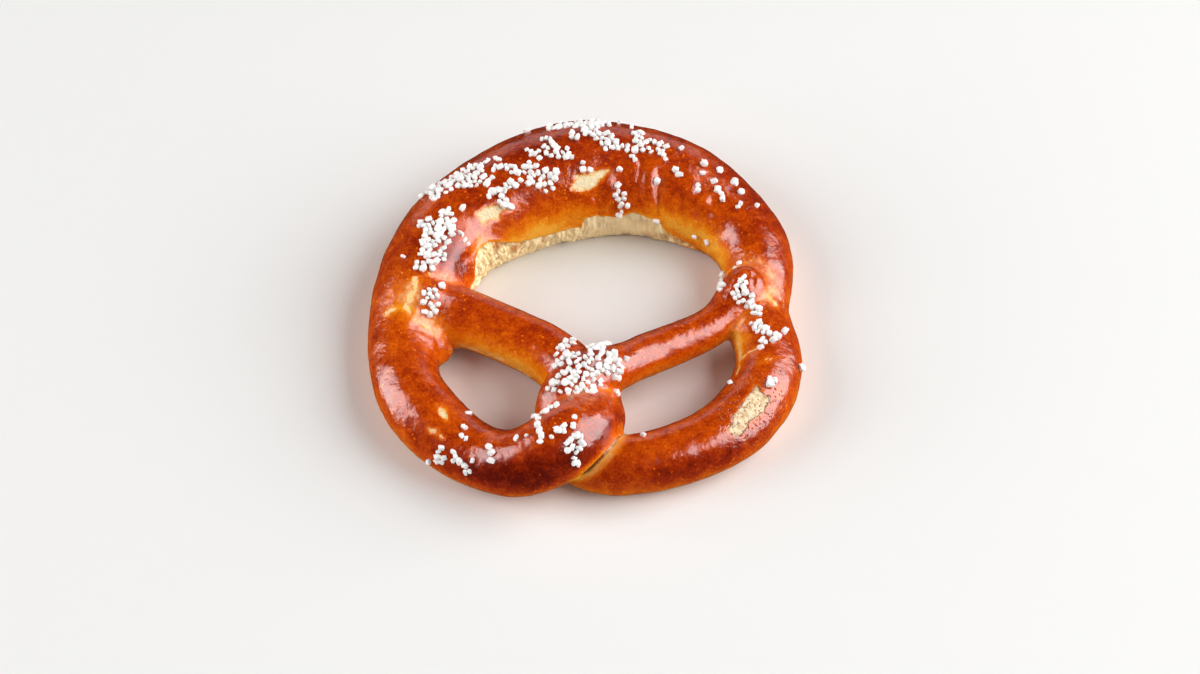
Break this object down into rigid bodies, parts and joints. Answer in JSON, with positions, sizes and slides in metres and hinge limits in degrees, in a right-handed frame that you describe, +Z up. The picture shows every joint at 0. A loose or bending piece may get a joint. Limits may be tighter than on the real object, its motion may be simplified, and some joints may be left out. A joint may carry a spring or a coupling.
{
  "type": "salted pretzel",
  "caption": "Baked soft pretzel: a thick bow tapering to crossed arms pressed onto the ring, with coarse white salt and a torn pale side.",
  "frame": {"origin": "middle of the footprint, on the plane that the pretzel rests on", "axes": "+Z up; +Y towards the thick bow, -Y towards the twist; +X to the right seen from the twist's side"},
  "size_m": [0.155, 0.1629, 0.0374],
  "materials": {
    "crust": "glossy baked lye crust, mahogany brown on top and amber on its lower sides, matt and floury underneath",
    "crumb": "matt cream crumb with torn fibres where the crust has split or flaked",
    "salt": "opaque white coarse salt nibs"
  },
  "bodies": {
    "root": {"pretzel": "crust"}
  },
  "joints": []
}
